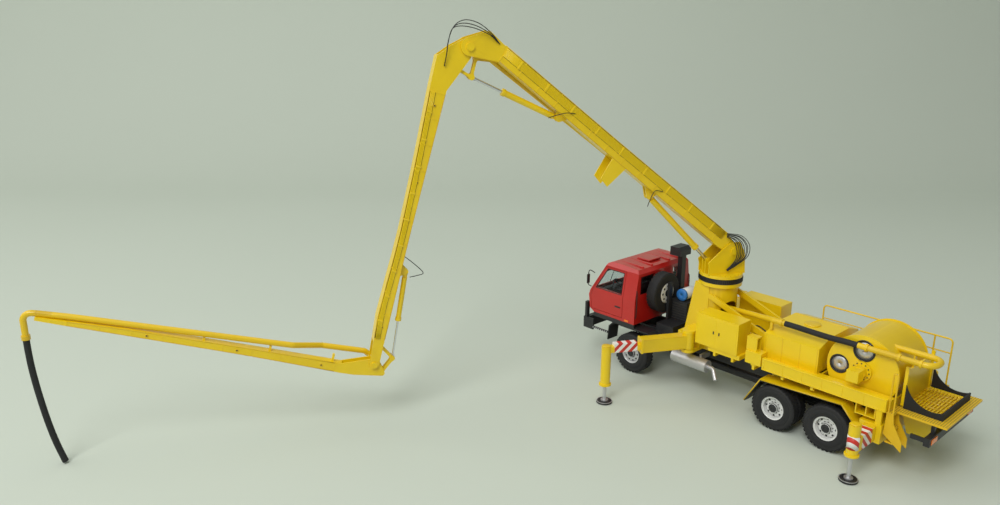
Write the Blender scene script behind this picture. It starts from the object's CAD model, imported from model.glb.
"""Looks of the scale-model concrete pump truck: materials, glass, trim, hoses, light and camera.

Metres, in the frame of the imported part: origin on the ground under the slewing axis, +X to the
rear of the truck, +Y to its right, +Z up.  Boom trim is worked out in the frame of its own section,
with X along the section, Y across towards the left of the reach, and Z up, and is then carried to
its place.
"""

import math

import bmesh
import bpy
import numpy as np
from mathutils import Matrix


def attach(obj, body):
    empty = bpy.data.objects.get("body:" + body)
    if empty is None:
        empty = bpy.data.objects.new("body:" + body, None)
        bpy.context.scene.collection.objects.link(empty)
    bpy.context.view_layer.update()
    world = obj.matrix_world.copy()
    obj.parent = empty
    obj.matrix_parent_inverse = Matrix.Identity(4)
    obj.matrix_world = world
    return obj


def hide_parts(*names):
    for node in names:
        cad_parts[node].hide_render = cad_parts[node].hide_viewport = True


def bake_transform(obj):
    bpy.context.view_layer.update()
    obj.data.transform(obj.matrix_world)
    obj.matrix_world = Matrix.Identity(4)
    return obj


MM = 0.001

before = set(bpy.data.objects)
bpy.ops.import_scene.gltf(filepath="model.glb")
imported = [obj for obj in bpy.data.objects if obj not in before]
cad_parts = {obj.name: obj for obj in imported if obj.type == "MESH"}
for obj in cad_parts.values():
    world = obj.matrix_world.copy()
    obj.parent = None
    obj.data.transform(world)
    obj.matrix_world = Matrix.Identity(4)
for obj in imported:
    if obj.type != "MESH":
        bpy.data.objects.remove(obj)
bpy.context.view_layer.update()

# ---- sizes shared with the part, in millimetres
SLEW_REST = -116.4
PIN_A = (-5.05, 117.0)
ANGLE_1, ANGLE_2, ANGLE_3 = 36.64, -72.01, 14.28
LENGTH_1, LENGTH_2 = 268.2, 238.4
HALF_1, HALF_2, HALF_3 = 7.0, 5.0, 3.5
# place along a section, height of its underside and of its top there
BOX_1 = ((12.0, -5.2, 8.3), (135.0, -0.6, 11.6), (248.0, 4.0, 15.6))
BOX_2 = ((31.0, 6.6, 18.6), (88.0, 4.2, 13.4), (143.0, 1.9, 9.4), (203.0, -1.6, 8.0),
         (221.0, -2.4, 5.6))
BOX_3 = ((23.0, -10.0, -2.9), (90.0, -5.5, 0.0), (169.0, -1.9, 2.7), (208.0, -0.3, 2.75))
PIPE_R = 2.1
THIN_HOSE_R = 0.3
OIL_PIPE_PITCH = 0.86
TYRE_R = 17.2
RIM_R = 9.0
LUGS = 34
SPARE_WHEEL = (-49.2, -9.3, 69.5)
CAB_HALF = 38.5
WAIST_Z = 65.0
DOOR_LEAN = 4.0 / 23.5
SCREEN_LEAN = 15.4 / 27.6
DECK_HALF = 39.0
RING_TEETH = 72
ARM_PIVOT = (-2.0, 36.0)
ARM_TURN = 118.5
ARM_REACH = 69.8
REAR_LEG = (149.0, 62.2)
WHEELS = {  # body: x and y of its middle, outward direction, middles of its tyres along the axle
    "front_wheel_left": (-59.0, -32.25, -1, (0.0,)),
    "front_wheel_right": (-59.0, 32.25, 1, (0.0,)),
    "middle_wheel_left": (77.2, -29.6, -1, (-4.8, 4.8)),
    "middle_wheel_right": (77.2, 29.6, 1, (-4.8, 4.8)),
    "rear_wheel_left": (118.5, -29.6, -1, (-4.8, 4.8)),
    "rear_wheel_right": (118.5, 29.6, 1, (-4.8, 4.8)),
}

# ---- camera, in degrees, millimetres of lens and metres
CAMERA_TURN, CAMERA_DOWN, CAMERA_ROLL = 48.02, 16.41, 0.21
CAMERA_LENS = 29.485
CAMERA_SPOT = (0.35188, -0.55867, 0.30005)


def camera():
    """A camera on a three-quarter view from the front left, a little above the truck."""
    turn, down, roll = (math.radians(v) for v in (CAMERA_TURN, CAMERA_DOWN, CAMERA_ROLL))
    forward = np.array((-math.sin(turn) * math.cos(down), math.cos(turn) * math.cos(down), -math.sin(down)))
    right = np.array((math.cos(turn), math.sin(turn), 0.0))
    up = np.cross(right, forward)
    side = math.cos(roll) * right + math.sin(roll) * up
    top = -math.sin(roll) * right + math.cos(roll) * up
    data = bpy.data.cameras.new("camera")
    data.sensor_width = 36.0
    data.lens = CAMERA_LENS
    data.clip_start = 0.01
    obj = bpy.data.objects.new("camera", data)
    bpy.context.scene.collection.objects.link(obj)
    matrix = np.eye(4)
    matrix[:3, 0], matrix[:3, 1], matrix[:3, 2] = side, top, -forward
    matrix[:3, 3] = CAMERA_SPOT
    obj.matrix_world = Matrix(matrix.tolist())
    bpy.context.scene.camera = obj


# ---- places
def turned(slew):
    """The matrix of the boom's upright plane, turned about the slewing axis."""
    c, s = math.cos(math.radians(slew)), math.sin(math.radians(slew))
    return np.array(((c, -s, 0, 0), (s, c, 0, 0), (0, 0, 1, 0), (0, 0, 0, 1.0)))


def section_place(pin, angle):
    """The matrix of a boom section: raised by its angle about its pin, in the boom's plane."""
    c, s = math.cos(math.radians(angle)), math.sin(math.radians(angle))
    raised = np.array(((c, 0, -s, pin[0]), (0, 1, 0, 0), (s, 0, c, pin[1]), (0, 0, 0, 1.0)))
    return turned(SLEW_REST) @ raised


def ahead(start, angle, length):
    """Reach and height of the far pin of a section."""
    raised = math.radians(angle)
    return (start[0] + length * math.cos(raised), start[1] + length * math.sin(raised))


PIN_B = ahead(PIN_A, ANGLE_1, LENGTH_1)
PIN_C = ahead(PIN_B, ANGLE_2, LENGTH_2)
PLANE = turned(SLEW_REST)
AT_1 = section_place(PIN_A, ANGLE_1)
AT_2 = section_place(PIN_B, ANGLE_2)
AT_3 = section_place(PIN_C, ANGLE_3)
HERE = np.eye(4)


def carried(points, place):
    """Points in millimetres, carried by a matrix and turned into metres."""
    points = np.asarray(points, dtype=float)
    return (points @ place[:3, :3].T + place[:3, 3]) * MM


# ---- node helpers
def feed(tree, socket, value):
    """Links another node's socket into this one, or sets it to a number or colour."""
    if isinstance(value, bpy.types.NodeSocket):
        tree.links.new(value, socket)
    else:
        socket.default_value = value


def node(tree, kind, **inputs):
    """A shader node with its named inputs set to numbers or linked to sockets."""
    made = tree.nodes.new(kind)
    for key, value in inputs.items():
        feed(tree, made.inputs[key], value)
    return made


def own_place(tree):
    """The surface point in the frame of the part."""
    return tree.nodes.new("ShaderNodeTexCoord").outputs["Object"]


def noise(tree, place, scale, detail):
    """Cloudy noise at a place, from 0 to 1."""
    return node(tree, "ShaderNodeTexNoise", Vector=place, Scale=scale, Detail=detail).outputs[0]


def operation(tree, name, a, b=None):
    """A math node on one or two values."""
    made = tree.nodes.new("ShaderNodeMath")
    made.operation = name
    for socket, value in zip(made.inputs, (a, b)):
        if value is not None:
            feed(tree, socket, value)
    return made.outputs[0]


def mixed(tree, factor, first, second):
    """One colour blended into another."""
    made = tree.nodes.new("ShaderNodeMix")
    made.data_type = "RGBA"
    for socket, value in ((made.inputs[0], factor), (made.inputs[6], first), (made.inputs[7], second)):
        feed(tree, socket, value)
    return made.outputs[2]


def new_group(name, inputs, outputs):
    """An empty node group with float or colour sockets; returns it with its two end nodes."""
    group = bpy.data.node_groups.new(name, "ShaderNodeTree")
    for socket, kind, value in inputs:
        made = group.interface.new_socket(name=socket, in_out="INPUT", socket_type=kind)
        made.default_value = value
    for socket, kind in outputs:
        group.interface.new_socket(name=socket, in_out="OUTPUT", socket_type=kind)
    return group, group.nodes.new("NodeGroupInput"), group.nodes.new("NodeGroupOutput")


def sprayed_finish():
    """Spray paint: faint cloudy colour, dust that settles on upward faces, worn edges and a fine skin."""
    group, given, result = new_group(
        "sprayed_finish",
        (("Colour", "NodeSocketColor", (0.5, 0.5, 0.5, 1)),
         ("Dark", "NodeSocketColor", (0.2, 0.2, 0.2, 1)),
         ("Roughness", "NodeSocketFloat", 0.35), ("Line", "NodeSocketFloat", 0.5)),
        (("Colour", "NodeSocketColor"), ("Roughness", "NodeSocketFloat"), ("Height", "NodeSocketFloat")))
    place = own_place(group)
    cloud = noise(group, place, 45.0, 4.0)
    skin = noise(group, place, 1400.0, 2.0)
    point = group.nodes.new("ShaderNodeNewGeometry")
    convex = operation(group, "SUBTRACT", 0.49, point.outputs["Pointiness"])
    convex = operation(group, "MULTIPLY", convex, 6.0)
    crease = operation(group, "MAXIMUM", operation(group, "MINIMUM", convex, 1.0), 0.0)
    crease = operation(group, "MULTIPLY", crease, given.outputs["Line"])
    shade = operation(group, "MULTIPLY", operation(group, "SUBTRACT", cloud, 0.35), 0.30)
    shade = operation(group, "MAXIMUM", operation(group, "ADD", shade, crease), 0.0)
    colour = mixed(group, shade, given.outputs["Colour"], given.outputs["Dark"])
    rough = operation(group, "ADD", given.outputs["Roughness"], operation(group, "MULTIPLY", cloud, 0.12))
    for value, socket in ((colour, 0), (rough, 1), (skin, 2)):
        group.links.new(value, result.inputs[socket])
    return group


def rings_about_y(name, inner, outer):
    """Mask of an annulus about a line along Y through the given point: one between two radii."""
    group, given, result = new_group(
        name, (("X", "NodeSocketFloat", 0.0), ("Z", "NodeSocketFloat", 0.0)), (("Mask", "NodeSocketFloat"),))
    place = own_place(group)
    parts = node(group, "ShaderNodeSeparateXYZ", Vector=place)
    x = operation(group, "SUBTRACT", parts.outputs[0], given.outputs["X"])
    z = operation(group, "SUBTRACT", parts.outputs[2], given.outputs["Z"])
    squares = [operation(group, "MULTIPLY", side, side) for side in (x, z)]
    radius = operation(group, "SQRT", operation(group, "ADD", *squares))
    low = operation(group, "GREATER_THAN", radius, inner * MM)
    high = operation(group, "LESS_THAN", radius, outer * MM)
    group.links.new(operation(group, "MULTIPLY", low, high), result.inputs[0])
    return group


FINISH = sprayed_finish()
RIM_MASK = rings_about_y("rim_mask", 3.2, RIM_R - 0.05)


def principled(name):
    """An empty material with its shader and tree."""
    made = bpy.data.materials.new(name)
    made.use_nodes = True
    return made, made.node_tree, made.node_tree.nodes["Principled BSDF"]


def bump(tree, height, strength, distance=0.0002):
    """A bump node from a height."""
    return node(tree, "ShaderNodeBump", Strength=strength, Distance=distance, Height=height).outputs[0]


def paint(name, colour, dark, roughness=0.3, line=0.5, coat=0.3, metallic=0.0, grain=0.03):
    """A sprayed paint in one colour with its own shadow colour."""
    made, tree, shader = principled(name)
    look = tree.nodes.new("ShaderNodeGroup")
    look.node_tree = FINISH
    look.inputs["Colour"].default_value = (*colour, 1)
    look.inputs["Dark"].default_value = (*dark, 1)
    look.inputs["Roughness"].default_value = roughness
    look.inputs["Line"].default_value = line
    tree.links.new(look.outputs["Colour"], shader.inputs["Base Color"])
    tree.links.new(look.outputs["Roughness"], shader.inputs["Roughness"])
    tree.links.new(bump(tree, look.outputs["Height"], grain), shader.inputs["Normal"])
    shader.inputs["Coat Weight"].default_value = coat
    shader.inputs["Coat Roughness"].default_value = 0.12
    shader.inputs["Metallic"].default_value = metallic
    return made


def rubber(name, colour, scale=900.0, strength=0.25, roughness=0.75):
    """Dull rubber with a fine pebbled surface and paler scuffs."""
    made, tree, shader = principled(name)
    place = own_place(tree)
    pebble = noise(tree, place, scale, 3.0)
    scuff = noise(tree, place, 60.0, 5.0)
    amount = operation(tree, "MAXIMUM", operation(tree, "SUBTRACT", scuff, 0.5), 0.0)
    amount = operation(tree, "MULTIPLY", amount, 0.35)
    pale = tuple(min(1.0, c * 3 + 0.03) for c in colour)
    tree.links.new(mixed(tree, amount, (*colour, 1), (*pale, 1)), shader.inputs["Base Color"])
    shader.inputs["Roughness"].default_value = roughness
    tree.links.new(bump(tree, pebble, strength), shader.inputs["Normal"])
    return made


def wheel_finish(name, x, z, rim):
    """Rubber outside the rim's radius, painted rim inside it, about the wheel's own axle."""
    made, tree, shader = principled(name)
    mask = tree.nodes.new("ShaderNodeGroup")
    mask.node_tree = RIM_MASK
    mask.inputs["X"].default_value = x * MM
    mask.inputs["Z"].default_value = z * MM
    place = own_place(tree)
    pebble = noise(tree, place, 900.0, 3.0)
    dust = noise(tree, place, 90.0, 4.0)
    worn = tuple(c * 0.7 for c in rim)
    dark = mixed(tree, operation(tree, "MULTIPLY", dust, 0.2), (0.012, 0.012, 0.013, 1),
                 (0.06, 0.058, 0.055, 1))
    light = mixed(tree, operation(tree, "MULTIPLY", dust, 0.25), (*rim, 1), (*worn, 1))
    tree.links.new(mixed(tree, mask.outputs[0], dark, light), shader.inputs["Base Color"])
    rough = operation(tree, "SUBTRACT", 0.72, operation(tree, "MULTIPLY", mask.outputs[0], 0.4))
    tree.links.new(rough, shader.inputs["Roughness"])
    tree.links.new(bump(tree, pebble, 0.15), shader.inputs["Normal"])
    return made


def grating(name, colour, dark, pitch=1.6):
    """Painted sheet with a small square grid of holes, drawn where the face looks up."""
    made, tree, shader = principled(name)
    place = own_place(tree)
    parts = node(tree, "ShaderNodeSeparateXYZ", Vector=place)
    turn = 2 * math.pi / (pitch * MM)
    x = operation(tree, "SINE", operation(tree, "MULTIPLY", parts.outputs[0], turn))
    y = operation(tree, "SINE", operation(tree, "MULTIPLY", parts.outputs[1], turn))
    both = operation(tree, "MINIMUM", x, y)
    normal = tree.nodes.new("ShaderNodeNewGeometry").outputs["Normal"]
    facing = node(tree, "ShaderNodeSeparateXYZ", Vector=normal)
    upward = operation(tree, "GREATER_THAN", facing.outputs[2], 0.7)
    hole = operation(tree, "MULTIPLY", operation(tree, "GREATER_THAN", both, -0.15), upward)
    tree.links.new(mixed(tree, hole, (*colour, 1), (*dark, 1)), shader.inputs["Base Color"])
    rough = operation(tree, "ADD", operation(tree, "MULTIPLY", hole, 0.3), 0.42)
    tree.links.new(rough, shader.inputs["Roughness"])
    tree.links.new(bump(tree, operation(tree, "SUBTRACT", 1.0, hole), 0.5), shader.inputs["Normal"])
    return made


def bright_steel(name, colour=(0.78, 0.78, 0.8), roughness=0.16):
    """Polished rod with hair-fine drawing marks."""
    made, tree, shader = principled(name)
    place = own_place(tree)
    marks = noise(tree, place, 700.0, 2.0)
    shader.inputs["Metallic"].default_value = 1.0
    drawn = mixed(tree, marks, (*colour, 1), (*(c * 0.85 for c in colour), 1))
    tree.links.new(drawn, shader.inputs["Base Color"])
    rough = operation(tree, "ADD", operation(tree, "MULTIPLY", marks, 0.1), roughness)
    tree.links.new(rough, shader.inputs["Roughness"])
    return made


def clear_pane(name):
    """Clear plastic glazing."""
    made, tree, shader = principled(name)
    place = own_place(tree)
    smear = noise(tree, place, 50.0, 3.0)
    shader.inputs["Base Color"].default_value = (0.86, 0.9, 0.92, 1)
    shader.inputs["Transmission Weight"].default_value = 1.0
    shader.inputs["IOR"].default_value = 1.2
    tree.links.new(operation(tree, "MULTIPLY", smear, 0.08), shader.inputs["Roughness"])
    return made


def warning_stripes(name, direction, pitch=5.2):
    """Red and white stripes: the sign of a sine wave along the given direction."""
    made, tree, shader = principled(name)
    place = own_place(tree)
    dot = tree.nodes.new("ShaderNodeVectorMath")
    dot.operation = "DOT_PRODUCT"
    tree.links.new(place, dot.inputs[0])
    dot.inputs[1].default_value = tuple(float(v) for v in direction)
    turn = operation(tree, "MULTIPLY", dot.outputs["Value"], 2 * math.pi / (pitch * MM))
    red = operation(tree, "GREATER_THAN", operation(tree, "SINE", turn), 0.0)
    striped = mixed(tree, red, (0.85, 0.84, 0.82, 1), (0.6, 0.03, 0.02, 1))
    tree.links.new(striped, shader.inputs["Base Color"])
    grain = noise(tree, place, 600.0, 2.0)
    rough = operation(tree, "ADD", operation(tree, "MULTIPLY", grain, 0.15), 0.3)
    tree.links.new(rough, shader.inputs["Roughness"])
    return made


YELLOW = paint("yellow_paint", (0.90, 0.63, 0.003), (0.35, 0.16, 0.0), roughness=0.3, line=0.5)
YELLOW_TRIM = paint("yellow_trim", (0.83, 0.55, 0.003), (0.3, 0.13, 0.0), roughness=0.34)
RED = paint("red_paint", (0.52, 0.012, 0.008), (0.12, 0.0, 0.0), roughness=0.26, coat=0.5)
BLACK = paint("black_paint", (0.016, 0.016, 0.018), (0.005, 0.005, 0.005), roughness=0.42, coat=0.1)
DARK_IRON = paint("dark_iron", (0.05, 0.048, 0.045), (0.01, 0.01, 0.01), roughness=0.5, coat=0.0, metallic=0.4)
SILVER = paint("silver_paint", (0.62, 0.62, 0.63), (0.2, 0.2, 0.2), roughness=0.32, metallic=0.7, coat=0.1)
BUNDLE = paint("bundle_yellow", (0.88, 0.64, 0.003), (0.66, 0.42, 0.0), roughness=0.34, line=0.15, coat=0.1)
SEAM = paint("seam", (0.22, 0.13, 0.003), (0.05, 0.02, 0.0), roughness=0.6, coat=0.0)
WHITE = paint("white_paint", (0.80, 0.80, 0.78), (0.3, 0.3, 0.3), roughness=0.3)
CABIN = paint("interior_plastic", (0.07, 0.07, 0.075), (0.02, 0.02, 0.02), roughness=0.6, coat=0.0, grain=0.15)
ORANGE = paint("orange_lens", (0.9, 0.2, 0.01), (0.5, 0.08, 0.0), roughness=0.15, coat=0.6)
LENS = paint("lamp_lens", (0.75, 0.78, 0.8), (0.3, 0.3, 0.3), roughness=0.08, coat=0.8)
BLUE = paint("blue_cap", (0.03, 0.2, 0.6), (0.0, 0.05, 0.2), roughness=0.35)
STEEL = bright_steel("bright_steel")
RUBBER = rubber("black_rubber", (0.014, 0.014, 0.015))
HOSE = rubber("thin_hose", (0.01, 0.01, 0.011), roughness=0.5, strength=0.05)
WINDOW_RING = rubber("window_ring", (0.015, 0.015, 0.016), roughness=0.6)
GRATE = grating("yellow_grating", (0.80, 0.50, 0.01), (0.26, 0.20, 0.04))
GLASS = clear_pane("clear_pane")


# ---- surfaces
BLOCK_FACES = np.array(((0, 2, 3, 1), (4, 5, 7, 6), (0, 1, 5, 4), (2, 6, 7, 3), (0, 4, 6, 2), (1, 3, 7, 5)))


def piece(name, points, faces, material, body, smooth=True):
    """A mesh piece from points in metres, on one body or bent between two from point to point."""
    mesh = bpy.data.meshes.new(name)
    faces = faces.tolist() if isinstance(faces, np.ndarray) else faces
    mesh.from_pydata(np.asarray(points, dtype=float).tolist(), [], faces)
    mesh.materials.append(material)
    mesh.polygons.foreach_set("use_smooth", [smooth] * len(mesh.polygons))
    mesh.update()
    obj = bpy.data.objects.new(name, mesh)
    bpy.context.scene.collection.objects.link(obj)
    if isinstance(body, tuple):
        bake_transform(obj)
    else:
        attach(obj, body)
    return obj


def turns(count):
    """Angles evenly round a full turn."""
    return np.linspace(0, 2 * np.pi, count, endpoint=False)


def ring_spots(count, radius, centre, axis=1, start=0.0):
    """Spots evenly round a circle about a line along one axis."""
    angle = turns(count) + start
    spots = np.tile(np.asarray(centre, dtype=float), (count, 1))
    first, second = (a for a in range(3) if a != axis)
    spots[:, first] += radius * np.cos(angle)
    spots[:, second] += radius * np.sin(angle)
    return spots


def block_faces(count):
    """Quad indices of separate blocks, each of eight corners."""
    return (BLOCK_FACES[None] + 8 * np.arange(count)[:, None, None]).reshape(-1, 4)


def quads(rows, columns, wrap_rows=False, wrap_columns=False):
    """Quad indices of a grid, wrapped round in either direction where asked."""
    i = np.arange(rows if wrap_rows else rows - 1)
    j = np.arange(columns if wrap_columns else columns - 1)
    i, j = (a.ravel() for a in np.meshgrid(i, j, indexing="ij"))
    k, m = (i + 1) % rows, (j + 1) % columns
    return np.stack((i * columns + j, i * columns + m, k * columns + m, k * columns + j), axis=1)


def swept(path, radius, sides=10):
    """A round tube: at each path point a circle stands square to the path's direction there."""
    path = np.asarray(path, dtype=float)
    along = np.gradient(path, axis=0)
    along /= np.linalg.norm(along, axis=1)[:, None]
    guide = np.array((0.31, 0.17, 0.94))
    side = np.cross(along, guide)
    side /= np.linalg.norm(side, axis=1)[:, None]
    other = np.cross(along, side)
    angle = turns(sides)[None, :, None]
    ring = np.cos(angle) * side[:, None] + np.sin(angle) * other[:, None]
    points = (path[:, None] + radius * ring).reshape(-1, 3)
    faces = quads(len(path), sides, wrap_columns=True)[:, ::-1].tolist()
    faces.append(list(range(sides)))
    faces.append(list(range(len(points) - 1, len(points) - sides - 1, -1)))
    return points, faces


def curve_through(points, steps=40):
    """A smooth path through spots: each coordinate is a Catmull-Rom blend of four neighbours."""
    spots = np.asarray(points, dtype=float)
    padded = np.vstack((2 * spots[0] - spots[1], spots, 2 * spots[-1] - spots[-2]))
    t = np.linspace(0, len(spots) - 1, steps)
    i = np.minimum(t.astype(int), len(spots) - 2)
    u = (t - i)[:, None]
    a, b, c, d = padded[i], padded[i + 1], padded[i + 2], padded[i + 3]
    square = (2 * a - 5 * b + 4 * c - d) * u ** 2
    cube = (3 * b - a - 3 * c + d) * u ** 3
    return 0.5 * ((2 * b) + (c - a) * u + square + cube)


def tube(name, points, radius, material, body, place=HERE, steps=40, sides=10):
    """A hose or round bar through spots in millimetres."""
    made, faces = swept(curve_through(points, steps), radius, sides)
    return piece(name, carried(made, place), faces, material, body)


def closed_sides(count):
    """Faces between two outlines of the same count, with both ends closed."""
    ends = [list(range(count))[::-1], list(range(count, 2 * count))]
    return quads(2, count, wrap_columns=True).tolist() + ends


def bevelled(obj, width):
    """Rounds a piece's edges by a width in millimetres."""
    edge = obj.modifiers.new("edge", "BEVEL")
    edge.width = width * MM
    edge.segments = 2
    return obj


def bars(name, boxes, material, body, place=HERE, bevel=0.15):
    """Small bevelled blocks in one mesh: all corners at once from the low and high corner of each."""
    boxes = np.asarray(boxes, dtype=float).reshape(-1, 2, 3)
    pick = np.array([(i, j, k) for k in (0, 1) for j in (0, 1) for i in (0, 1)])
    corners = np.stack([boxes[:, pick[:, axis], axis] for axis in range(3)], axis=2).reshape(-1, 3)
    faces = block_faces(len(boxes))
    return bevelled(piece(name, carried(corners, place), faces, material, body, smooth=False), bevel)


def prism(name, outline, span, material, body, bevel):
    """An outline in X and Z carried over a span of Y, with both ends closed and bevelled edges."""
    outline = np.asarray(outline, dtype=float)
    points = np.vstack([np.insert(outline, 1, y, axis=1) for y in span]) * MM
    faces = closed_sides(len(outline))
    return bevelled(piece(name, points, faces, material, body, smooth=False), bevel)


def discs(name, spots, radius, depth, material, body, place=HERE, sides=14, axis=1):
    """Round caps along one axis: each a ring of points at both ends, with a narrower rim on top."""
    spots = np.asarray(spots, dtype=float).reshape(-1, 3)
    angle = turns(sides)
    levels = np.array(((0.0, 1.0), (0.75, 1.0), (1.0, 0.82)))
    width = radius * levels[None, :, 1, None]
    first, second = (a for a in range(3) if a != axis)
    points = np.zeros((len(spots), 3, sides, 3))
    points[..., first] = spots[:, None, None, first] + width * np.cos(angle)
    points[..., second] = spots[:, None, None, second] + width * np.sin(angle)
    points[..., axis] = spots[:, None, None, axis] + depth * levels[None, :, 0, None]
    side = quads(3, sides, wrap_columns=True)
    step = 3 * sides
    faces = (side[None] + step * np.arange(len(spots))[:, None, None]).reshape(-1, 4).tolist()
    for n in range(len(spots)):
        faces.append([n * step + k for k in range(sides)][::-1])
        faces.append([n * step + 2 * sides + k for k in range(sides)])
    obj = piece(name, carried(points.reshape(-1, 3), place), faces, material, body)
    clean_normals(obj)
    return obj


def clean_normals(obj):
    """Turns every face of a closed piece outwards."""
    work = bmesh.new()
    work.from_mesh(obj.data)
    bmesh.ops.recalc_face_normals(work, faces=work.faces)
    work.to_mesh(obj.data)
    work.free()


def revolved(name, profile, centre, out, material, body, sides=48):
    """A profile of radius and Y turned about a line along Y through the centre."""
    profile = np.asarray(profile, dtype=float)
    angle = turns(sides)
    x = centre[0] + profile[:, 0, None] * np.cos(angle)
    z = centre[2] + profile[:, 0, None] * np.sin(angle)
    y = np.broadcast_to(centre[1] + out * profile[:, 1, None], x.shape)
    points = np.stack((x, y, z), axis=2).reshape(-1, 3)
    faces = quads(len(profile), sides, wrap_rows=True, wrap_columns=True)
    clean_normals(piece(name, points * MM, faces, material, body))


def upright(name, profile, spot, sides, material, body):
    """A profile of radius and height turned about an upright line at the spot."""
    profile = np.asarray(profile, dtype=float)
    angle = turns(sides)
    x = spot[0] + profile[:, 0, None] * np.cos(angle)
    y = spot[1] + profile[:, 0, None] * np.sin(angle)
    points = np.stack((x, y, np.broadcast_to(profile[:, 1, None], x.shape)), axis=2).reshape(-1, 3)
    faces = quads(len(profile), sides, wrap_rows=True, wrap_columns=True)
    clean_normals(piece(name, points * MM, faces, material, body))


# ---- the part's own pieces
def finish_parts():
    """Gives every piece of the part its material, by body colour."""
    looks = {
        BLACK: ("chassis_frame", "axles", "knuckle_left", "knuckle_right", "front_bumper", "rear_rack",
                "slew_ring", "fenders", "underrun_bar"),
        DARK_IRON: ("engine_block",),
        SILVER: ("exhaust", "front_leg_left", "front_leg_right", "rear_leg_left", "rear_leg_right"),
        RED: ("cab_shell", "cab_door_left", "cab_door_right"),
        CABIN: ("cab_interior",),
        GRATE: ("platform",),
        RUBBER: ("hopper_guards", "spare_wheel"),
        STEEL: ("lift_rod", "fold2_rod", "fold3_rod"),
        YELLOW_TRIM: ("boom_1_pipe", "boom_2_pipe", "boom_3_pipe", "pump_pipes", "handrails"),
    }
    by_name = {name: material for material, names in looks.items() for name in names}
    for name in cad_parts:
        obj = bpy.data.objects[name]
        material = by_name.get(name, YELLOW)
        if name in WHEELS:
            x, _, _, rows = WHEELS[name]
            rim = (0.75, 0.75, 0.73) if len(rows) == 2 else (0.55, 0.55, 0.55)
            material = wheel_finish(name + "_finish", x, TYRE_R, rim)
        obj.data.materials.clear()
        obj.data.materials.append(material)


def hose_cord(name, node_name, points, body):
    """A hose laid on one smooth NURBS line through the stated control points."""
    data = bpy.data.curves.new(name, "CURVE")
    data.dimensions = "3D"
    spline = data.splines.new("NURBS")
    spline.points.add(len(points) - 1)
    for spot, point in zip(spline.points, points):
        spot.co = (*point, 1.0)
    spline.order_u = 3
    spline.use_endpoint_u = True
    spline.resolution_u = 16
    data.bevel_depth = PIPE_R * MM
    data.bevel_resolution = 6
    data.use_fill_caps = True
    data.materials.append(RUBBER)
    obj = bpy.data.objects.new(name, data)
    bpy.context.scene.collection.objects.link(obj)
    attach(obj, body)
    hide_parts(node_name)


END_HOSE = ((509.0, 92.6), (509.1, 82.0), (508.3, 66.0), (506.3, 46.0), (503.6, 27.0), (500.6, 12.0),
            (497.6, 1.2))
DELIVERY_HOSE = ((73.5, -25.5, 80.3), (81.0, -25.5, 80.3), (94.0, -25.7, 80.0), (109.0, -26.2, 80.0),
                 (121.0, -26.5, 80.8), (128.6, -26.5, 80.8))


def hoses():
    """The end hose that hangs from the last section and the delivery hose on the deck."""
    hanging = carried([(x, 0, z) for x, z in END_HOSE], PLANE).tolist()
    hose_cord("rubber_end_hose", "end_hose", hanging, "boom_3")
    laid = carried(DELIVERY_HOSE, HERE).tolist()
    hose_cord("rubber_delivery_hose", "delivery_hose", laid, "root")


# ---- wheels
def lug_corners(rows, reach, rise):
    """Corners of skewed lugs, two staggered rings to a row: across, along and up from the axle."""
    corners = []
    for middle in rows:
        for side in (-1, 1):
            turn = turns(LUGS) + (np.pi / LUGS if side > 0 else 0)
            for radius in (TYRE_R - 0.5, TYRE_R + rise):
                for across, skew in ((0.35, 0.0), (reach, 0.09)):
                    for wide in (-0.052, 0.052):
                        a = turn + wide + skew
                        corners.append(np.stack((np.full(LUGS, middle + side * across), radius * np.cos(a),
                                                 radius * np.sin(a)), axis=1))
    return np.stack(corners, axis=1).reshape(-1, 3)


def tread(name, points, body):
    """Tread lugs: each a small block of eight corners that stands out of the tyre's face."""
    faces = block_faces(len(points) // 8)
    clean_normals(piece(name, points * MM, faces, RUBBER, body, smooth=False))


def wheel_trim(body, x, y, out, rows):
    """Sidewall rings, the dished disc with its hand holes, the hub and its ring of nuts."""
    twin = len(rows) == 2
    lugs = lug_corners(rows, 3.75 if twin else 4.35, 0.16)[:, (1, 0, 2)]
    tread(body + "_tread", lugs + (x, y, TYRE_R), body)
    face = 4.4 if twin else 2.2
    wall = 8.9 if twin else 4.75
    hub = 8.6 if twin else 4.6
    rim = WHITE if twin else SILVER
    turned_parts = (
        ("sidewall", RUBBER, ((10.2, wall - 0.15), (10.6, wall + 0.14), (13.4, wall + 0.16),
                              (14.4, wall - 0.2))),
        ("rim_lip", rim, ((8.5, wall - 0.75), (8.7, wall - 0.15), (9.25, wall - 0.05), (9.3, wall - 0.75))),
        ("disc", rim, ((3.4, face + 0.1), (3.5, face + 1.0), (5.2, face + 1.5), (7.0, face + 0.9),
                       (7.79, face + 0.2), (7.79, face + 0.05), (3.4, face + 0.05))),
        ("hub", BLACK, ((0.01, hub + 0.35), (1.6, hub + 0.3), (2.4, hub + 0.02), (2.7, hub - 0.3),
                        (3.42, hub - 0.5), (3.42, hub - 1.5), (0.01, hub - 1.5))),
    )
    for name, material, profile in turned_parts:
        revolved(f"{body}_{name}", profile, (x, y, TYRE_R), out, material, body)
    holes = ring_spots(8 if twin else 10, 6.35, (x, y + out * (face + 1.05), TYRE_R))
    discs(body + "_hand_holes", holes, 0.78, out * 0.28, BLACK, body)
    nuts = ring_spots(10, 4.35, (x, y + out * (face + 1.15), TYRE_R), start=0.2)
    discs(body + "_nuts", nuts, 0.36, out * 0.75, BLACK if twin else SILVER, body, sides=6)


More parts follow.
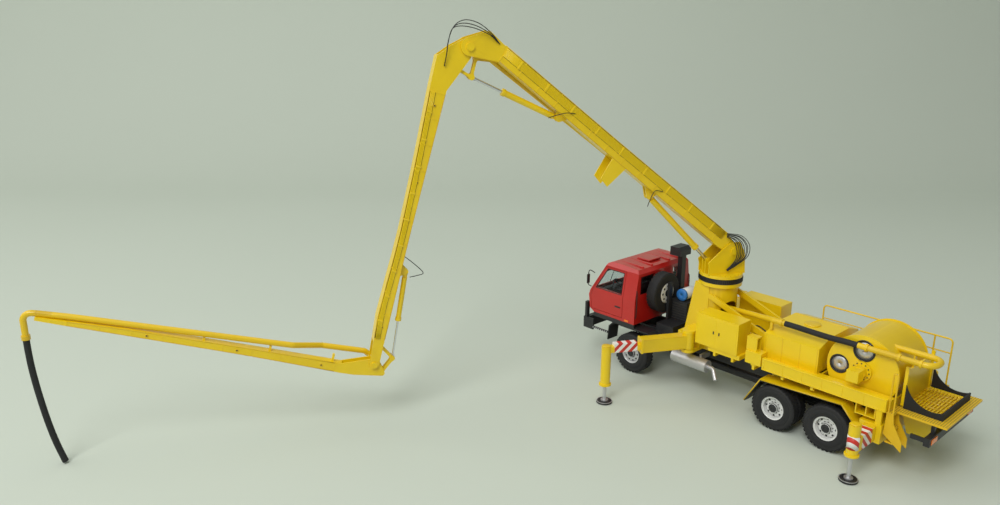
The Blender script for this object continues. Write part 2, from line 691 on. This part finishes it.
def spare_wheel_trim():
    """Lugs round the spare wheel, whose axle lies along X, and its pale rim face."""
    x, y, z = SPARE_WHEEL
    tread("spare_tread", lug_corners((0.0,), 4.3, 0.2) + SPARE_WHEEL, "root")
    discs("spare_rim_face", ((x + 4.2, y, z),), 8.9, 0.5, WHITE, "root", axis=0, sides=40)
    discs("spare_rim_hole", ((x + 4.7, y, z),), 3.0, 0.35, BLACK, "root", axis=0, sides=24)
    holes = ring_spots(8, 6.2, (x + 4.7, y, z), axis=0)
    discs("spare_hand_holes", holes, 1.0, 0.12, BLACK, "root", axis=0)


# ---- cab
def pane(name, corners, thickness, body):
    """A flat pane of glass: its corners, and the same corners moved along its normal."""
    points = np.asarray(corners, dtype=float)
    normal = np.cross(points[1] - points[0], points[2] - points[0])
    normal /= np.linalg.norm(normal)
    both = np.vstack((points, points + normal * thickness))
    clean_normals(piece(name, both * MM, closed_sides(len(points)), GLASS, body, smooth=False))


def door_y(z, out):
    """Half width of the cab at a height, upright below the waist and leaning in above it."""
    return CAB_HALF - max(0.0, z - WAIST_Z) * DOOR_LEAN + out


def cab_trim():
    """Glazing, grille, lamps, roof ribs, hatch, mirrors, wipers, handles and steps of the cab."""
    screen = [(-106.4 + (z - 63.0) * SCREEN_LEAN + 0.7, y, z)
              for y, z in ((-35, 66.5), (35, 66.5), (31, 87.5), (-31, 87.5))]
    pane("windscreen", screen, 0.4, "root")
    for side, body in ((-1, "cab_door_left"), (1, "cab_door_right")):
        window = [(x, side * door_y(z, -0.7), z)
                  for x, z in ((-99.6, 67.6), (-71.6, 67.6), (-71.6, 85.6), (-89.6, 85.6))]
        pane(body + "_window", window, 0.35, body)
        handle = ((-77.5, side * 38.6 - 0.35, 55.0), (-71.5, side * 38.6 + 0.35, 56.3))
        bars(body + "_handle", (handle,), BLACK, body)
        seal = [(x, side * door_y(z, 0.05), z)
                for x, z in ((-99.9, 67.2), (-71.3, 67.2), (-71.3, 86.0), (-89.4, 86.0), (-99.9, 67.2))]
        for n, (p, q) in enumerate(zip(seal, seal[1:])):
            tube(f"{body}_seal_{n}", (p, q), 0.32, WINDOW_RING, body, steps=2)
        arm = ((-102.0, side * 37.8, 80.0), (-104.5, side * 41.5, 82.5), (-105.2, side * 42.6, 79.0),
               (-105.3, side * 42.4, 70.0), (-104.5, side * 39.2, 67.2))
        tube(body + "_mirror_arm", arm, 0.38, BLACK, "root")
        mirror = ((-105.9, side * 42.4 - 1.7, 70.5), (-104.9, side * 42.4 + 1.7, 79.0))
        bars(body + "_mirror", (mirror,), BLACK, "root", bevel=0.4)
    for n, (y0, y1) in enumerate(((-31.5, -13.0), (13.0, 31.5))):
        corners = [(-56.9, y, z) for y, z in ((y0, 69.5), (y1, 69.5), (y1, 85.5), (y0, 85.5))]
        pane(f"rear_window_{n}", corners, 0.4, "root")
    ribs = [((-86.0, y - 0.9, 91.2), (-59.5, y + 0.9, 92.55)) for y in (-24.0, -12.0, 12.0, 24.0)]
    bars("roof_ribs", ribs, RED, "root", bevel=0.5)
    bars("roof_hatch", (((-80.0, -8.0, 92.0), (-66.0, 8.0, 93.6)),), RED, "root", bevel=0.6)
    grille = [((-108.0, -26.0, z), (-106.2, 26.0, z + 1.1)) for z in np.arange(48.5, 60.0, 2.3)]
    bars("grille", grille, BLACK, "root")
    lamps = [(-112.4, y, 32.0) for y in (-30.5, -23.5, 23.5, 30.5)]
    discs("headlamps", lamps, 2.6, -0.8, LENS, "root", axis=0, sides=28)
    rims = [(x + 0.2, y, z) for x, y, z in lamps]
    discs("headlamp_rims", rims, 3.1, -0.35, BLACK, "root", axis=0, sides=28)
    markers = [((-66.2, side * CAB_HALF - 0.6, 45.0), (-62.0, side * CAB_HALF + 0.6, 46.6)) for side in (-1, 1)]
    markers += [((-107.4, side * 32.0 - 2.2, 59.3), (-106.4, side * 32.0 + 2.2, 62.0)) for side in (-1, 1)]
    bars("orange_markers", markers, ORANGE, "root")
    for side in (-1, 1):
        wiper = ((-106.6, side * 12, 64.0), (-101.0, side * 16, 72.0), (-96.5, side * 18.5, 79.0))
        tube(f"wiper_{side}", wiper, 0.3, BLACK, "root")
        rail = ((-57.0, side * 36.5, 50.0), (-55.3, side * 36.9, 52.0), (-55.3, side * 36.9, 72.0),
                (-57.0, side * 36.3, 74.0))
        tube(f"grab_rail_{side}", rail, 0.4, BLACK, "root")
        treads = [((-101.0 + n * 2.2, side * 38.0 - 1.4, 29.0), (-100.2 + n * 2.2, side * 38.0 + 1.4, 30.2))
                  for n in range(8)]
        bars(f"step_treads_{side}", treads, SILVER, "root")
    slats = [((-43.35, -3.5, z), (-42.9, 11.5, z + 0.9)) for z in np.arange(36.0, 63.0, 2.2)]
    slats += [((-41.5, -6.3, z), (-27.0, -5.9, z + 0.9)) for z in np.arange(48.0, 63.0, 2.2)]
    bars("locker_slats", slats, DARK_IRON, "root")
    revolved("filter_can", ((0.01, 6.5), (4.4, 6.5), (5.0, 5.8), (5.0, -5.8), (4.4, -6.5), (0.01, -6.5)),
             (-34.0, 5.0, 69.1), 1, WHITE, "root")
    revolved("filter_cap", ((0.01, 2.2), (4.9, 2.2), (5.2, 1.6), (5.2, 0.0), (0.01, 0.0)),
             (-34.0, -1.7, 69.1), -1, BLUE, "root")


# ---- boom
def edge_between(stations, x, top):
    """Height of a section's underside or top at a place along it, straight between its stations."""
    along = [s[0] for s in stations]
    return float(np.interp(x, along, [s[2 if top else 1] for s in stations]))


def boom_trim():
    """Ribs, edge strips, bosses, and the oil pipe bundles with their seams and clamps."""
    sections = (("boom_1", AT_1, BOX_1, HALF_1, (22, 246), 14),
                ("boom_2", AT_2, BOX_2, HALF_2, (36, 218), 11),
                ("boom_3", AT_3, BOX_3, HALF_3, (28, 206), 10))
    for body, place, box, half, (start, stop), ribs in sections:
        spots = np.linspace(start, stop, ribs)
        strips = []
        for x in spots:
            low, top = edge_between(box, x, False), edge_between(box, x, True)
            strips += [((x - 0.45, half - 0.02, low + 0.5), (x + 0.45, half + 0.22, top - 0.5)),
                       ((x - 0.45, -half - 0.22, low + 0.5), (x + 0.45, -half + 0.02, top - 0.5))]
        bars(body + "_ribs", strips, YELLOW, body, place, bevel=0.08)
        for level, name in ((True, "top"), (False, "under")):
            for side in (-1, 1):
                line = [(x, side * (half + 0.02), edge_between(box, x, level) + (-0.25 if level else 0.25))
                        for x in np.linspace(start, stop, 8)]
                tube(f"{body}_{name}_edge_{side}", line, 0.28, YELLOW_TRIM, body, place, steps=10, sides=8)
        middles = (spots[:-1] + spots[1:])[::3] / 2
        bosses = np.array([(x, half - 0.05, (edge_between(box, x, False) + edge_between(box, x, True)) / 2)
                           for x in middles])
        discs(body + "_bosses", bosses, 1.15, 0.5, YELLOW_TRIM, body, place, sides=20)
        discs(body + "_boss_holes", bosses + (0, 0.45, 0), 0.55, 0.12, BLACK, body, place, sides=14)
    for body, place, box, half, lines, (start, stop) in (("boom_1", AT_1, BOX_1, HALF_1, 7, (16, 246)),
                                                        ("boom_2", AT_2, BOX_2, HALF_2, 4, (36, 218))):
        bundle = lines * OIL_PIPE_PITCH
        spots = np.linspace(start, stop, 10)
        for n in range(lines):
            line = [(x, half + 0.45, edge_between(box, x, True) - 1.4 - n * OIL_PIPE_PITCH) for x in spots]
            tube(f"{body}_oil_pipe_{n}", line, 0.42, BUNDLE, body, place, steps=14, sides=8)
        for n, below in enumerate((0.75, 1.05 + bundle)):
            line = [(x, half + 0.04, edge_between(box, x, True) - below) for x in spots]
            tube(f"{body}_seam_{n}", line, 0.14, SEAM, body, place, steps=14, sides=6)
        clamps = [((x - 0.7, half, edge_between(box, x, True) - 1.2 - bundle),
                   (x + 0.7, half + 1.1, edge_between(box, x, True) - 0.9))
                  for x in np.linspace(start + 14, stop - 14, 9)]
        bars(body + "_clamps", clamps, YELLOW, body, place)


def thin_hose(name, loop, body, place):
    """One thin oil hose through spots in millimetres."""
    tube(name, loop, THIN_HOSE_R, HOSE, body, place, sides=8)


def thin_hoses():
    """Loops of thin oil hose: eight at the boom foot, three at the first elbow, three at the cylinders."""
    inner = np.array(((14.0, 9.6, 5.0), (8.0, 10.3, 5.5), (2.5, 11.0, 3.4), (-3.3, 11.2, -2.5),
                      (-4.6, 10.6, -9.0), (-4.0, 9.6, -16.0)))
    outer = np.array(((16.0, 9.6, 7.0), (4.5, 10.8, 12.4), (-6.2, 11.6, 10.4), (-11.0, 11.8, 2.6),
                      (-8.6, 10.8, -7.2), (-5.2, 9.8, -16.2)))
    bend = carried(((7.0, 0, 3.0), (3.0, 0, -13.0)), AT_1)
    for n, share in enumerate(np.linspace(0, 1, 8)):
        loop = inner + share * (outer - inner) + np.array((0, 0.25 * (n % 3), 0.3 * (n % 2)))
        thin_hose(f"foot_hose_{n}", loop, ("boom_1", "turret", *bend), AT_1)
    bend = carried(((262.0, 0, 6.0), (274.0, 0, -6.0)), AT_1)
    for n, share in enumerate((1.0, 0.62, 0.3)):
        loop = np.array(((252.5 + n, 7.5, 13.5), (262.0, 9.0, 13.2 + 2.4 * share),
                         (273.0, 9.4, 9.5 + 6.0 * share), (282.0, 9.4, 4.5 + 7.0 * share),
                         (285.5, 9.0, 0.5 + 3.5 * share), (283.0, 8.4, -6.0), (278.5, 7.2, -14.0),
                         (275.0, 5.6, -21.0)))
        thin_hose(f"elbow_hose_{n}", loop + (0, 0.3 * n, 0), ("boom_1", "boom_2", *bend), AT_1)
    loops = (("boom_1", AT_1, ((191.0, 2.0, -5.5), (189.0, 7.2, -1.0), (184.0, 8.6, 4.6), (177.0, 7.4, 8.4))),
             ("boom_1", AT_1, ((83.0, 7.3, 2.5), (89.5, 8.6, -1.0), (88.0, 8.0, -9.5), (84.0, 3.0, -13.0))),
             ("boom_2", AT_2, ((153.5, 5.3, 1.2), (157.0, 6.6, -7.0), (161.5, 7.0, -14.5), (165.0, 6.0, -10.5),
                               (167.5, 4.6, -6.5))))
    for n, (body, place, loop) in enumerate(loops):
        thin_hose(f"cylinder_hose_{n}", loop, body, place)


# ---- outriggers and the pump body
def outrigger_trim():
    """Striped sleeves, edge strips, leg caps and feet of the four outriggers."""
    ring = ((3.92, 24.0), (4.02, 24.0), (4.02, 33.5), (3.92, 33.5))
    foot = ((0.01, 0.02), (6.3, 0.02), (6.3, 1.2), (5.2, 1.75), (0.01, 1.75))
    for side, s in (("left", -1), ("right", 1)):
        place = turned(ARM_TURN * s)
        along = place[:3, 0]
        place[:2, 3] = ARM_PIVOT[0], ARM_PIVOT[1] * s
        front_leg = place[:2, 3] + ARM_REACH * along[:2]
        rear_leg = (REAR_LEG[0], REAR_LEG[1] * s)
        direction = along * 0.707 + np.array((0, 0, 0.707))
        stripes = warning_stripes(f"arm_stripes_{side}", direction)
        arm, beam = f"front_arm_{side}", f"rear_beam_{side}"
        bars(f"front_arm_sleeve_{side}", (((45.0, -2.95, 42.85), (64.0, 2.95, 50.15)),), stripes, arm, place)
        strips = (((6.0, -4.2, 51.4), (40.5, 4.2, 52.2)), ((6.0, -4.2, 40.9), (40.5, 4.2, 41.6)))
        bars(f"front_arm_strips_{side}", strips, YELLOW_TRIM, arm, place)
        discs(f"front_leg_cap_{side}", ((ARM_REACH, 0, 47.9),), 3.6, 0.9, YELLOW_TRIM, arm, place, axis=2,
              sides=28)
        slant = warning_stripes(f"beam_stripes_{side}", (0.0, 0.707, 0.707))
        y0, y1 = sorted((s * 57.6, s * 43.5))
        bars(f"rear_beam_sleeve_{side}", (((144.95, y0, 22.45), (153.05, y1, 33.05)),), slant, beam)
        upright(f"rear_leg_stripes_{side}", ring, rear_leg, 40, slant, beam)
        discs(f"rear_leg_cap_{side}", ((*rear_leg, 41.3),), 3.5, 0.9, YELLOW_TRIM, beam, axis=2, sides=28)
        upright(f"front_foot_{side}", foot, front_leg, 36, BLACK, f"front_leg_{side}")
        upright(f"rear_foot_{side}", foot, rear_leg, 36, BLACK, f"rear_leg_{side}")


def deck_trim():
    """Drum windows, locker doors, deck lips, fender skins, tank seams, ring teeth, bolts and hoses."""
    for s in (-1, 1):
        wall = s * DECK_HALF
        for n, (x, z, r) in enumerate(((116.2, 62.4, 7.0), (132.3, 77.0, 7.8))):
            centre = (x, s * 23.4, z)
            pane_edge = ((0.01, 0.1), (r - 0.8, 0.1), (r - 0.8, 0.02), (0.01, 0.02))
            ring_edge = ((r - 1.1, 0.9), (r - 0.1, 1.0), (r + 0.05, 0.1), (r - 1.1, 0.1))
            revolved(f"drum_window_{s}_{n}", pane_edge, centre, s, SILVER, "root", sides=40)
            revolved(f"drum_window_ring_{s}_{n}", ring_edge, centre, s, BLACK, "root", sides=40)
        doors = [((x0, wall - 0.15, 50.0), (x1, wall + 0.15, 72.4)) for x0, x1 in ((7.6, 24.4), (25.4, 42.6))]
        bars(f"locker_doors_{s}", doors, YELLOW, "root")
        latches = [((x, s * 39.15 - 0.3, 60.0), (x + 1.0, s * 39.15 + 0.3, 62.4)) for x in (22.0, 27.0)]
        bars(f"locker_latches_{s}", latches, BLACK, "root")
        lips = [((66.0, s * 39.05 - 0.3, z0), (157.0, s * 39.05 + 0.3, z1))
                for z0, z1 in ((53.2, 54.1), (45.0, 45.8))]
        lips += [((x, s * 39.02 - 0.25, 45.6), (x + 1.0, s * 39.02 + 0.25, 53.4))
                 for x in np.arange(66.5, 157, 15.0)]
        bars(f"deck_lips_{s}", lips, YELLOW, "root")
        edge = [(x, s * 38.6, z) for x, z in ((53.3, 15.7), (65.2, 36.5), (128.0, 39.7), (138.5, 28.2))]
        for n, (p, q) in enumerate(zip(edge, edge[1:])):
            tube(f"fender_edge_{s}_{n}", (p, q), 0.5, YELLOW, "root", steps=2)
        top = np.array(((53.5, 15.9), (65.3, 36.6), (128.0, 39.8), (138.4, 28.4), (138.9, 28.8), (128.3, 40.3),
                        (65.0, 37.1), (53.0, 16.2)))
        span = sorted((s * 38.4, s * 26.1))
        clean_normals(prism(f"fender_skin_{s}", top, span, YELLOW, "root", 0.05))
        lamp_box = ((187.0, s * 31.0 - 4.5, 32.0), (187.5, s * 31.0 + 4.5, 35.6))
        clean_normals(bars(f"tail_lamps_{s}", (lamp_box,), ORANGE, "root"))
    seams = [((x, y, 51.6), (x + 0.7, y + 0.25, 70.4))
             for y in (-30.15, 29.9) for x in (61.5, 75.0, 89.0, 102.0)]
    seams += [((60.9, -13.5, 75.4), (103.1, -12.9, 75.7)), ((60.9, 12.9, 75.4), (103.1, 13.5, 75.7))]
    bars("tank_seams", seams, YELLOW_TRIM, "root", bevel=0.08)
    discs("tank_lid", ((82.0, 0, 75.4),), 6.0, 1.0, YELLOW_TRIM, "root", axis=2, sides=32)
    teeth = turns(RING_TEETH)
    corners = np.stack([np.stack((r * np.cos(teeth + w), r * np.sin(teeth + w), np.full(RING_TEETH, z)), axis=1)
                        for z in (91.8, 95.2) for r in (17.1, 17.75) for w in (-0.022, 0.022)], axis=1)
    clean_normals(piece("ring_teeth", corners.reshape(-1, 3) * MM, block_faces(RING_TEETH), BLACK, "root",
                        smooth=False))
    discs("turret_bolts", ring_spots(24, 16.1, (0, 0, 98.25), axis=2), 0.5, 0.6, YELLOW_TRIM, "turret", axis=2,
          sides=6)
    discs("motor_bolts", ring_spots(12, 5.9, (132.5, -26.2, 62.5)), 0.45, -0.5, BLACK, "root", sides=6)
    for n, y in enumerate((-12.0, -4.0, 4.0, 12.0)):
        tube(f"hopper_bar_{n}", ((161.6, y, 46.6), (185.4, y, 46.6)), 0.35, YELLOW_TRIM, "root", steps=2)
    for n, y in enumerate((4.0, 7.5, 11.0)):
        loop = ((20.0, y, 50.0), (30.0, y + 1.0, 56.0), (42.0, y + 2.0, 52.0), (58.0, y + 3.0, 54.0))
        tube(f"deck_hose_{n}", loop, 0.55, HOSE, "root")


# ---- room and light
def room():
    """A pale floor that curves up into a pale backdrop, seen at its own colour, with shadows on it."""
    made, tree, shader = principled("studio_paper")
    place = own_place(tree)
    cloud = noise(tree, place, 1.5, 2.0)
    shade = mixed(tree, cloud, (0.55, 0.60, 0.52, 1), (0.59, 0.64, 0.56, 1))
    tree.links.new(shade, shader.inputs["Base Color"])
    shader.inputs["Roughness"].default_value = 0.9
    angle = np.linspace(0, np.pi / 2, 16)
    depth = np.concatenate(((-2.5,), 0.75 + 0.5 * np.sin(angle), (1.25,)))
    height = np.concatenate(((0.0,), 0.5 - 0.5 * np.cos(angle), (3.0,)))
    across = np.linspace(-4, 4, 9)
    turn = math.radians(CAMERA_TURN)
    forward = np.array((-math.sin(turn), math.cos(turn)))
    right = np.array((forward[1], -forward[0]))
    ground = depth[:, None, None] * forward + across[None, :, None] * right
    rise = np.broadcast_to(height[:, None, None], (len(depth), len(across), 1))
    points = np.concatenate((ground, rise), axis=2).reshape(-1, 3) - (0, 0, 0.0003)
    mesh = bpy.data.meshes.new("studio")
    mesh.from_pydata(points.tolist(), [], quads(len(depth), len(across))[:, ::-1].tolist())
    mesh.polygons.foreach_set("use_smooth", [True] * len(mesh.polygons))
    mesh.materials.append(made)
    obj = bpy.data.objects.new("studio", mesh)
    bpy.context.scene.collection.objects.link(obj)


def lamp(name, spot, aim, size, power):
    """A square area lamp turned towards a point."""
    data = bpy.data.lights.new(name, "AREA")
    data.size = size
    data.energy = power
    obj = bpy.data.objects.new(name, data)
    bpy.context.scene.collection.objects.link(obj)
    away = np.array(spot) - np.array(aim)
    away = away / np.linalg.norm(away)
    side = np.cross((0.0, 0.0, 1.0), away)
    side /= np.linalg.norm(side)
    matrix = np.eye(4)
    matrix[:3, 0], matrix[:3, 1], matrix[:3, 2], matrix[:3, 3] = side, np.cross(away, side), away, spot
    obj.matrix_world = Matrix(matrix.tolist())


def light():
    """Three large soft lamps and an even world."""
    lamp("key", (0.4, -1.3, 1.4), (-0.1, -0.1, 0.1), 0.8, 17.0)
    lamp("fill", (-1.0, -1.2, 1.1), (-0.2, -0.1, 0.1), 1.4, 8.5)
    lamp("top", (-0.2, 0.0, 1.9), (-0.1, 0.01, 0.0), 1.6, 6.0)
    world = bpy.data.worlds.new("even_light")
    world.use_nodes = True
    background = world.node_tree.nodes["Background"]
    background.inputs["Color"].default_value = (0.93, 0.97, 0.90, 1)
    background.inputs["Strength"].default_value = 0.32
    bpy.context.scene.world = world
    bpy.context.scene.view_settings.view_transform = "Standard"


camera()
hoses()
finish_parts()
for wheel, (x, y, out, rows) in WHEELS.items():
    wheel_trim(wheel, x, y, out, rows)
spare_wheel_trim()
cab_trim()
boom_trim()
thin_hoses()
outrigger_trim()
deck_trim()
room()
light()
